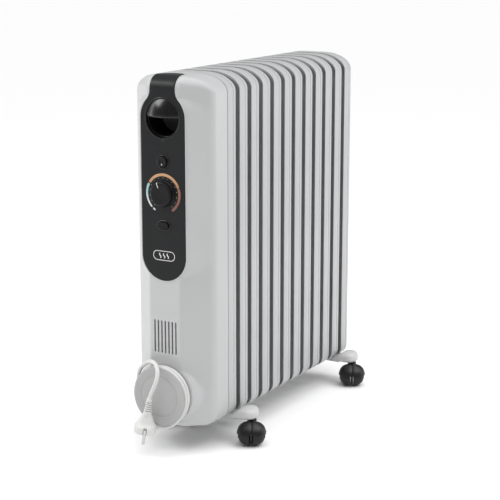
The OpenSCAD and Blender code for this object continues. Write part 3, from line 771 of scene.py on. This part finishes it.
# ---- Fascia ----
RECESS_HOLE = 33.4
PANEL_KEYS = (
    (601.6, 32.9), (604.2, 30.5), (607.0, 28.3), (610.5, 26.4), (614.5, 25.1), (619.0, 24.6), (624.0, 24.4),
    (631.0, 24.4), (638.0, 24.5), (645.0, 24.6), (651.0, 24.7), (656.0, 24.6), (661.0, 23.9), (665.5, 22.3),
    (669.5, 20.0), (673.0, 17.0), (676.0, 13.4), (678.2, 9.4), (679.5, 5.0), (680.0, 0.0),
)


def panel_half(s):
    """Half the fascia's width at a distance s along its middle, which is the height up to the top edge"""
    if s <= PANEL_LOW_Z:
        return math.sqrt(max(PANEL_R ** 2 - (PANEL_LOW_Z - s) ** 2, 0.0))
    if s <= RECESS_Z:
        return PANEL_R
    if s < PANEL_KEYS[0][0]:
        return math.sqrt(PANEL_R ** 2 - (s - RECESS_Z) ** 2)
    return blended(PANEL_KEYS, s)


def wrapped(x, s, out):
    """A point out above the skin, on the way up the front, over the top edge and back"""
    r = TOP_EDGE_R
    z1 = FIN_TOP - r
    if s <= z1:
        return x, FACE_Y - out, s
    turn = (s - z1) / r
    if turn < math.pi / 2:
        return x, FACE_Y + r - (r + out) * math.cos(turn), z1 + (r + out) * math.sin(turn)
    return x, FACE_Y + r + (s - z1 - r * math.pi / 2), FIN_TOP + out


def panel_stations():
    hole = RECESS_HOLE
    low = [PANEL_LOW_Z + PANEL_R * math.sin(math.radians(a)) for a in steps(-90, 0, 22)]
    level = steps(PANEL_LOW_Z, RECESS_Z - hole, 22)[1:-1]
    around = [RECESS_Z + hole * math.sin(math.radians(a)) for a in steps(-90, 90, 40)]
    around = [s for s in around if s < 601]
    return low + level + around + [601.6]


def panel_edge():
    """The fascia's outline in (x, s), from the bottom up the right side, closely spaced"""
    right = [(panel_half(s), s) for s in panel_stations()]
    keys = [(w, s) for s, w in PANEL_KEYS]
    tail = spline([(w, s, 0) for w, s in keys], 3)
    right = right[:-1] + [(max(p.x, 0.0), p.y) for p in tail]
    return right


def drawn_in(edge, by):
    """The right half outline moved inward by a distance"""
    out = []
    for i, (x, s) in enumerate(edge):
        x0, s0 = edge[max(i - 1, 0)]
        x1, s1 = edge[min(i + 1, len(edge) - 1)]
        if i == 0:
            x0, s0 = -x1, s1
        if i == len(edge) - 1:
            x1, s1 = -x0, s0
        dx, ds = x1 - x0, s1 - s0
        size = math.hypot(dx, ds) or 1.0
        out.append((max(x - ds / size * by, 0.0), s + dx / size * by))
    return out


def panel_piece():
    hole = RECESS_HOLE
    edge = panel_edge()
    across = [0, 0.12, 0.25, 0.4, 0.55, 0.7, 0.85, 1]
    inner = drawn_in(edge, 1.0)
    shape = Shape()
    for side in (-1, 1):
        rows = []
        for x, s in inner:
            gap = abs(s - RECESS_Z)
            start = math.sqrt(hole ** 2 - gap ** 2) if gap < hole else 0.0
            rows.append([wrapped(side * mix(start, max(x, start), k), s, 0.75) for k in across])
        shape.grid(rows)
        rings = []
        for by, out in ((1.0, 0.75), (0.55, 0.70), (0.22, 0.52), (0.04, 0.25), (0.0, -0.1), (0.0, -0.8)):
            rings.append([wrapped(side * x, s, out) for x, s in drawn_in(edge, by)])
        shape.grid(rings)
    # The lip of the recess's hole
    rings = []
    for out in (0.75, 0.1, -0.8):
        rings.append([(hole * math.cos(math.radians(a)), FACE_Y - out,
                       RECESS_Z + hole * math.sin(math.radians(a))) for a in steps(0, 360, 96)])
    shape.grid(rings)
    build("fascia", shape, "panel_black", replaces=("control_panel",), bend=50)

    # Raised bead of the housing that frames the fascia
    bead = []
    for by, out in ((-0.25, -0.4), (-0.3, 0.35), (-0.55, 0.72), (-1.0, 0.9), (-1.55, 0.78), (-2.1, 0.35),
                    (-2.7, -0.2),
                    (-2.7, -0.6)):
        right = [wrapped(x, s, out) for x, s in drawn_in(edge, by)]
        left = [(-p[0], p[1], p[2]) for p in reversed(right)]
        bead.append(right[:-1] + left[:-1])
    build("fascia_bead", Shape().grid(bead, wrap=True, closed=True), "housing_white", bend=60)


panel_piece()


# ---- Hand recess ----
def recess():
    profile = [(34.5, 0.3), (34.4, 0.95), (34.0, 1.2), (33.2, 1.25), (32.4, 0.9), (30.9, -2.2),
               (30.7, -2.9), (30.9, -3.4), (30.8, -3.9), (30.3, -4.1), (29.8, -3.9), (29.5, -4.6),
               (29.4, -40), (28.6, -42.6), (26, -44), (0, -44.4), (0, -46), (31.4, -46), (31.5, -5),
               (33.0, -5), (33.0, 0.3)]
    shape = lathe(profile + [profile[0]], 96)
    build("recess_cup", shape.moved(on_face(RECESS_Z)), "gloss_black", replaces=("handle_cup",), bend=34)

    ball_r, bulge, grip_r = 60.0, 9.0, 31.9
    low = 0.6
    rows = []
    for k in steps(0, 1, 22):
        row = []
        for a in steps(0, 180, 48):
            x = grip_r * k * math.cos(math.radians(a))
            y = grip_r * k * math.sin(math.radians(a))
            row.append((x, low + y * (grip_r - low) / grip_r))
        rows.append(row)

    def dome(x, y, thick):
        rho = math.hypot(x, y)
        out = bulge - ball_r + math.sqrt((ball_r - thick) ** 2 - rho * rho)
        fold = max(0.0, 1 - (y - low) / 3.2)
        return x, y, out - 3.0 * fold * fold * (0 if thick else 1)

    shape = Shape()
    front = [[dome(x, y, 0) for x, y in row] for row in rows]
    back = [[dome(x, y, 3.4) for x, y in row] for row in rows]
    shape.grid(front)
    shape.grid(back)
    shape.grid([front[-1], back[-1]])
    low_front = [row[-1] for row in reversed(front)] + [row[0] for row in front[1:]]
    low_back = [row[-1] for row in reversed(back)] + [row[0] for row in back[1:]]
    shape.grid([low_front, low_back])
    build("recess_grip", shape.moved(on_face(RECESS_Z)), "gloss_black", replaces=("handle_grip",), bend=50)


recess()


# ---- Thermostat ----
def thermostat():
    print_out = 0.78
    scale_r = 34
    tick_at = 26.6
    tick_r = 0.45
    scale = Shape()
    bands = ((231.5, 241, 31.0, 31.4), (151, 227, 29.6, 31.2), (21, 147, 29.4, 29.4), (-58, 19, 29.4, 29.4))
    for start, end, inner_start, inner_end in bands:
        n = max(4, int(abs(end - start) / 2.5))
        rows = []
        for k in steps(0, 1, n):
            a = math.radians(mix(start, end, k))
            r0 = mix(inner_start, inner_end, k)
            ends = 0.5 if k in (0, 1) else 0.0
            r1 = scale_r - ends
            top = print_out + 0.12
            ring = ((r0 + ends, 0), (r0 + ends, top), (r1, top), (r1, 0))
            rows.append([(r * math.cos(a), r * math.sin(a), h) for r, h in ring])
        scale.loft(rows)
    build("dial_scale", scale.moved(on_face(DIAL_Z)), "scale_print", replaces=("scale_ring",), bend=30)

    ticks = Shape()
    for a in range(-50, 231, 20):
        rounds = [math.radians(b) for b in range(0, 360, 45)]
        dot = [(tick_r * math.cos(b), tick_r * math.sin(b)) for b in rounds]
        cx, cy = tick_at * math.cos(math.radians(a)), tick_at * math.sin(math.radians(a))
        ticks.loft([[(cx + x, cy + y, h) for x, y in dot] for h in (0.3, print_out + 0.1)])
    build("dial_ticks", ticks.moved(on_face(DIAL_Z)), "badge_white", bend=30)

    # The knob stands lower than its solid in part.scad
    profile = [(0, 0.9), (21.5, 0.9), (22.3, 1.1), (22.6, 1.8), (22.3, 2.5), (21.5, 3.0), (21.2, 3.8),
               (20.9, 6), (20.6, 8), (20.4, 8.9), (20.1, 9.7), (19.4, 10.4), (18.3, 10.8), (16.8, 10.9),
               (12, 10.6), (6, 10.4), (0, 10.3)]
    n = 144
    rows = []
    for r, h in profile:
        groove = 0.42 * smooth((h - 3.4) / 1.0) * (1 - smooth((h - 8.4) / 1.0)) if r > 19 else 0.0
        row = []
        for i in range(n):
            a = 2 * math.pi * i / n
            wave = groove * (0.5 + 0.5 * math.cos(36 * a)) ** 2
            row.append(((r - wave) * math.cos(a), (r - wave) * math.sin(a), h))
        rows.append(row)
    knob = Shape().grid(rows, wrap=True)
    build("dial_knob", knob.moved(on_face(DIAL_Z)), "knob_black", body="thermostat",
          replaces=("thermostat_knob",), bend=45)

    # Spindle that ends inside the knob
    spindle = [(0, -14), (2.6, -14), (3, -13.6), (3, 8.6), (2.6, 9), (0, 9)]
    build("dial_spindle", lathe(spindle, 32).moved(on_face(DIAL_Z)), "zinc_steel", body="thermostat",
          replaces=("thermostat_shaft",), bend=40)

    # White pointer let into the knob's front and over its edge
    turn = math.radians(110)
    line = [(11.0, 10.6), (13, 10.85), (16.8, 11.15), (18.4, 11.05), (19.5, 10.6), (20.3, 9.75),
            (20.6, 8.9), (20.75, 8.0)]
    rows = []
    for i, (r, h) in enumerate(line):
        half = 0.3 if i in (0, len(line) - 1) else 0.6
        base = (r - 0.9, h - 0.9)
        ring = ((base, -half), ((r, h), -half), ((r, h), half), (base, half))
        rows.append([(p[0] * math.cos(turn) - s * math.sin(turn),
                      p[0] * math.sin(turn) + s * math.cos(turn), p[1]) for p, s in ring])
    pointer = Shape().loft(rows)
    build("dial_pointer", pointer.moved(on_face(DIAL_Z)), "badge_white", body="thermostat", bend=40)


thermostat()


# ---- Push button and power key ----
def pill_ring(w, h, grow, n=12):
    """A pill's outline grown outward, counterclockwise"""
    r = h / 2 + grow
    c = (w - h) / 2
    right = arc(c, 0, r, -90, 90, n)
    left = arc(-c, 0, r, 90, 270, n)
    return right + left


def pill_turned(w, h, profile, closed=False):
    """A profile of (growth, height) taken round a pill's outline"""
    rows = [[(x, y, z) for x, y in pill_ring(w, h, grow)] for grow, z in profile]
    return Shape().grid(rows, wrap=True, closed=closed)


def keys():
    bezel = [(9.5, -4), (9.5, 1.2), (9.8, 1.75), (10.4, 2.05), (11.2, 2.0), (11.8, 1.6), (12.1, 0.9),
             (12.2, 0.2), (10.1, -1), (10.1, -5)]
    build("button_bezel", lathe(bezel + [bezel[0]], 64).moved(on_face(BUTTON_Z)), "gloss_black",
          replaces=("button_bezels",), bend=40)
    top = [(0, -4), (8.9, -4), (8.9, 3.4), (8.7, 4.1), (8.1, 4.65), (7.2, 4.85), (6.0, 4.6), (4.0, 4.25),
           (2.0, 4.05), (0, 4.0)]
    build("eco_button_cap", lathe(top, 56).moved(on_face(BUTTON_Z)), "knob_black", body="eco_button",
          replaces=("eco_button",), bend=40)
    # A raised leaf-like spot on the cap's lower part
    spot = []
    for grow, h in ((0, 4.1), (0, 4.65), (-0.25, 4.75), (-0.7, 4.8)):
        ring = []
        for a in steps(0, 360, 20)[:-1]:
            c, s = math.cos(math.radians(a)), math.sin(math.radians(a))
            ring.append(((1.1 + grow) * c, -3.6 + (1.6 + grow) * s * (1 - 0.25 * s), h))
        spot.append(ring)
    build("eco_button_spot", Shape().loft(spot).moved(on_face(BUTTON_Z)), "disc_grey", body="eco_button",
          bend=40)

    w, h = 28.0, 17.5
    rim = [(-2.75, -4), (-2.75, 1.1), (-2.4, 1.7), (-1.7, 1.9), (-0.9, 1.8), (-0.3, 1.35), (0.0, 0.75),
           (0.1, 0.1), (-1.9, -1), (-1.9, -4)]
    build("power_bezel", pill_turned(w, h, rim, closed=True).moved(on_face(POWER_Z)), "gloss_black", bend=40)
    kw, kh = 21.4, 10.9
    cap = [(-5.45, -4), (0, -4), (0, 3.3), (-0.2, 4.0), (-0.7, 4.4), (-1.6, 4.55), (-3.0, 4.3),
           (-4.4, 4.15), (-5.44, 4.1)]
    key = pill_turned(kw, kh, cap, closed=True)
    build("power_key_cap", key.moved(on_face(POWER_Z)), "knob_black", body="power_key",
          replaces=("power_key",), bend=40)
    ring = [(r, z) for r, z in ((1.7, 4.05), (1.75, 4.3), (2.0, 4.36), (2.25, 4.3), (2.3, 4.05))]
    build("power_key_mark", lathe(ring + [ring[0]], 32).moved(on_face(POWER_Z)), "gloss_black",
          body="power_key", bend=50)


keys()


BADGE_W = 42.0
BADGE_H = 15.5


def badge():
    """Three rising heat waves with soft ends inside a plain pill outline"""
    shape = Shape()
    low, high = 0.3, 0.95
    for i in (-1, 0, 1):
        line = []
        for k in steps(0, 1, 20):
            y = mix(-4.6, 4.6, k)
            line.append((i * 7.5 + 1.5 * math.sin(k * 2 * math.pi), y, k))
        rows = []
        for j, (x, y, k) in enumerate(line):
            x0, y0, _ = line[max(j - 1, 0)]
            x1, y1, _ = line[min(j + 1, len(line) - 1)]
            dx, dy = x1 - x0, y1 - y0
            size = math.hypot(dx, dy)
            half = 0.25 + 0.65 * math.sin(math.pi * k) ** 0.5 if 0 < k < 1 else 0.2
            nx, ny = -dy / size * half, dx / size * half
            rows.append([(x - nx, y - ny, low), (x - nx, y - ny, high), (x + nx, y + ny, high),
                         (x + nx, y + ny, low)])
        shape.loft(rows)
    ring = [(-0.55, low), (-0.55, high), (0.55, high), (0.55, low)]
    shape.add(pill_turned(BADGE_W, BADGE_H, ring, closed=True))
    build("heat_badge", shape.moved(on_face(PANEL_LOW_Z)), "badge_white", replaces=("panel_badge",), bend=30)


badge()


# ---- Cord winder ----
def winder():
    # The disc is 1.5 mm wider in radius than in part.scad
    profile = [(0, 19.4), (48, 19.4), (50.7, 19.6), (51.4, 20.2), (51.5, 20.9), (51.1, 21.6),
               (50.1, 22.0), (48.0, 22.0), (45.4, 21.8), (43.0, 21.3), (40.0, 20.9), (37.6, 20.75),
               (37.0, 20.65), (36.5, 20.2), (36.0, 20.1), (35.5, 20.2), (35.0, 20.6), (34.2, 20.7),
               (24, 20.55), (12, 20.45), (0, 20.4)]
    build("winder_plate", lathe(profile, 128).moved(on_face(WINDER_Z)), "disc_grey",
          replaces=("winder_disc",), bend=50)


winder()


# ---- Bar ends ----
def cap_rings(y, side):
    """A pillow that rises from under the fins and ends in a rounded lobe over the caster"""
    stations = ((60, 3, 45.6, 49.4), (61, 9, 44.8, 50.6), (63.5, 14, 44.3, 51.2), (68, 17.2, 44.1, 51.6),
                (73, 18.8, 44, 52.2), (77, 19.8, 44, 53.6), (80, 20.4, 44, 56.4), (83, 20.8, 44, 59.6),
                (86.5, 21, 44, 62.2), (91, 21, 44, 63.6), (97, 20.8, 44, 64.0), (102, 20.0, 44, 63.8),
                (106, 18.2, 44.1, 63.0), (109, 15.6, 44.4, 61.6), (111.2, 12.2, 45.0, 59.6),
                (112.5, 8.0, 46.4, 57.2), (113, 3.0, 49.0, 54.2))
    rings = []
    for x, half, z0, z1 in stations:
        ring = []
        for a in steps(0, 360, 40)[:-1]:
            c, s = math.cos(math.radians(a)), math.sin(math.radians(a))
            power = 2 / (3.2 if s > 0 else 5.0)
            ring.append((side * x, y + half * math.copysign(abs(c) ** (2 / 3.0), c),
                         mix(z0, z1, 0.5 + 0.5 * math.copysign(abs(s) ** power, s))))
        rings.append(ring)
    return rings


def bar_caps():
    shape = Shape()
    for y in BAR_Y:
        for side in (-1, 1):
            shape.loft(cap_rings(y, side))
    build("bar_end_covers", shape, "cap_white", replaces=("bar_end_caps",), bend=60)


bar_caps()


# ---- Casters ----
def at_caster(i):
    side = 1 if i % 2 == 0 else -1
    y = BAR_Y[0 if i < 2 else 1]
    turn = math.radians(CASTER_TURNS[i])
    return Matrix.Translation((side * STEM_X, y, 0)) @ Matrix.Rotation(turn, 4, "Z")


def along_axle():
    """Local Z runs along the axle"""
    return Matrix.Translation((TRAIL, 0, WHEEL_R)) @ Matrix.Rotation(math.radians(90), 4, "X")


def ball(grow, n=12):
    """A wheel pair's outer half from tread to hub, as (radius, distance from the middle)"""
    out = []
    power = 2 / 2.5
    for a in steps(76, 0, n):
        c, s = math.cos(math.radians(a)), math.sin(math.radians(a))
        radius = max((WHEEL_R + grow) * s ** power, HUB_R) if s > 0 else HUB_R
        out.append((radius, (WHEEL_OUT + grow) * c ** power))
    return out


def wheel_pair():
    shape = Shape()
    for side in (-1, 1):
        outer = ball(0)
        profile = [(3.05, 3.2), (17.6, 3.2), (19.2, 3.5), (19.8, 4.0), (20.0, 5.0), (20.0, 5.6)] + outer
        profile += [(6.4, 23.3), (5.8, 22.6), (3.4, 22.4), (3.0, 22.8), (0, 23.0)]
        shape.add(lathe([(r, side * w) for r, w in profile], 72))
    return shape.add(lathe([(2.95, -3.3), (2.95, 3.3)], 24))


def hood():
    """Shell over the wheels with a groove down its middle, the web between the wheels and the collar"""
    gap, thick = 0.5, 1.3
    outer = ball(gap + thick)
    half = [(19.0 + gap + thick, 0.0), (19.0 + gap + thick, 0.9), (19.7 + gap + thick, 1.9),
            (20 + gap + thick, 3.2), (20 + gap + thick, 5.6)] + outer
    line = [(r, -w) for r, w in reversed(half[1:])] + half
    low, high = 12.0, 168.0
    n = 40
    outside, inside = [], []
    for r, w in line:
        taper = max(0.0, (abs(w) - 10.0) / 15.4)
        a0, a1 = low + 8 * taper, high - 8 * taper
        row_out, row_in = [], []
        for a in steps(a0, a1, n):
            c, s = math.cos(math.radians(a)), math.sin(math.radians(a))
            scale_in = 1 - thick / max(r, 8)
            w_in = math.copysign(max(abs(w) - thick * min(taper * 1.4, 1.0), 0), w)
            rise = 1 + 0.06 * max(s, 0.0) ** 4
            row_out.append((r * c, r * s * rise, w))
            row_in.append((r * scale_in * c, r * scale_in * s, w_in))
        outside.append(row_out)
        inside.append(row_in)
    shape = Shape()
    shape.grid(outside)
    shape.grid(inside)
    shape.grid([[row[0] for row in outside], [row[0] for row in inside]])
    shape.grid([[row[-1] for row in outside], [row[-1] for row in inside]])
    shape.grid([outside[0], inside[0]])
    shape.grid([outside[-1], inside[-1]])
    web = []
    for w in (-2.4, -2.0, 2.0, 2.4):
        r = 16.0 if abs(w) > 2.2 else 16.4
        web.append([(x, y, w) for x, y in arc(0, 0, r, 0, 360, 48)[:-1]])
    shape.add(Shape().loft(web)).moved(along_axle())
    collar = lathe([(0, 38.5), (6.5, 38.5), (8.2, 39.5), (8.4, 41.0), (8.0, 42.6), (7.2, 43.4),
                    (4.95, 43.6), (4.95, 59), (4.2, 60), (0, 60)], 40)
    return shape.add(collar)


def casters():
    for i, corner in enumerate(("fr", "fl", "rr", "rl")):
        wheels = wheel_pair().moved(along_axle())
        build(f"twin_wheels_{corner}", wheels.moved(at_caster(i)), "wheel_black", body=f"wheels_{corner}",
              replaces=(f"caster_wheels_{corner}",), bend=45)
        build(f"hood_{corner}", hood().moved(at_caster(i)), "caster_black", body=f"swivel_{corner}",
              replaces=(f"caster_hood_{corner}",), bend=50)


casters()


# ---- Studio ----
def studio():
    data = bpy.data.meshes.new("floor")
    reach = 40.0
    data.from_pydata([(-reach, -reach, 0), (reach, -reach, 0), (reach, reach, 0), (-reach, reach, 0)], [],
                     [(0, 1, 2, 3)])
    floor = bpy.data.objects.new("floor", data)
    bpy.context.scene.collection.objects.link(floor)
    material = bpy.data.materials.new("studio_white")
    material.use_nodes = True
    shader = material.node_tree.nodes["Principled BSDF"]
    shader.inputs["Base Color"].default_value = (0.93, 0.93, 0.93, 1)
    shader.inputs["Roughness"].default_value = 0.9
    shader.inputs["Specular IOR Level"].default_value = 0.1
    data.materials.append(material)

    world = bpy.data.worlds.new("world")
    world.use_nodes = True
    world.node_tree.nodes["Background"].inputs["Color"].default_value = (1, 1, 1, 1)
    world.node_tree.nodes["Background"].inputs["Strength"].default_value = 0.29
    bpy.context.scene.world = world

    def sun(name, azimuth, height, strength, spread):
        lamp = bpy.data.lights.new(name, "SUN")
        lamp.energy = strength
        lamp.angle = math.radians(spread)
        made = bpy.data.objects.new(name, lamp)
        # Azimuth 0 shines along +Y, 90 along -X
        made.rotation_euler = (math.radians(90 - height), 0, math.radians(azimuth))
        bpy.context.scene.collection.objects.link(made)

    def soft_box(name, place, target, width, tall, power):
        lamp = bpy.data.lights.new(name, "AREA")
        lamp.shape = "RECTANGLE"
        lamp.size = width
        lamp.size_y = tall
        lamp.energy = power
        made = bpy.data.objects.new(name, lamp)
        made.location = place
        aim = Vector(target) - Vector(place)
        made.rotation_euler = aim.to_track_quat("-Z", "Y").to_euler()
        bpy.context.scene.collection.objects.link(made)

    sun("sun_top", 60, 80, 2.5, 70)
    soft_box("box_left", (-1.0, -0.95, 1.45), (0, -0.2, 0.6), 0.6, 0.6, 12)
    soft_box("box_right", (1.2, 0.0, 1.5), (0, 0.0, 0.45), 0.9, 0.7, 5)
    soft_box("panel_right", (1.25, 0.8, 0.85), (0, -0.1, 0.45), 1.2, 1.3, 8)
    soft_box("strip_left", (-1.7, -0.85, 0.7), (0, -0.25, 0.5), 0.35, 1.5, 7)
    bpy.context.scene.view_settings.view_transform = "Standard"
    bpy.context.scene.view_settings.look = "None"


studio()
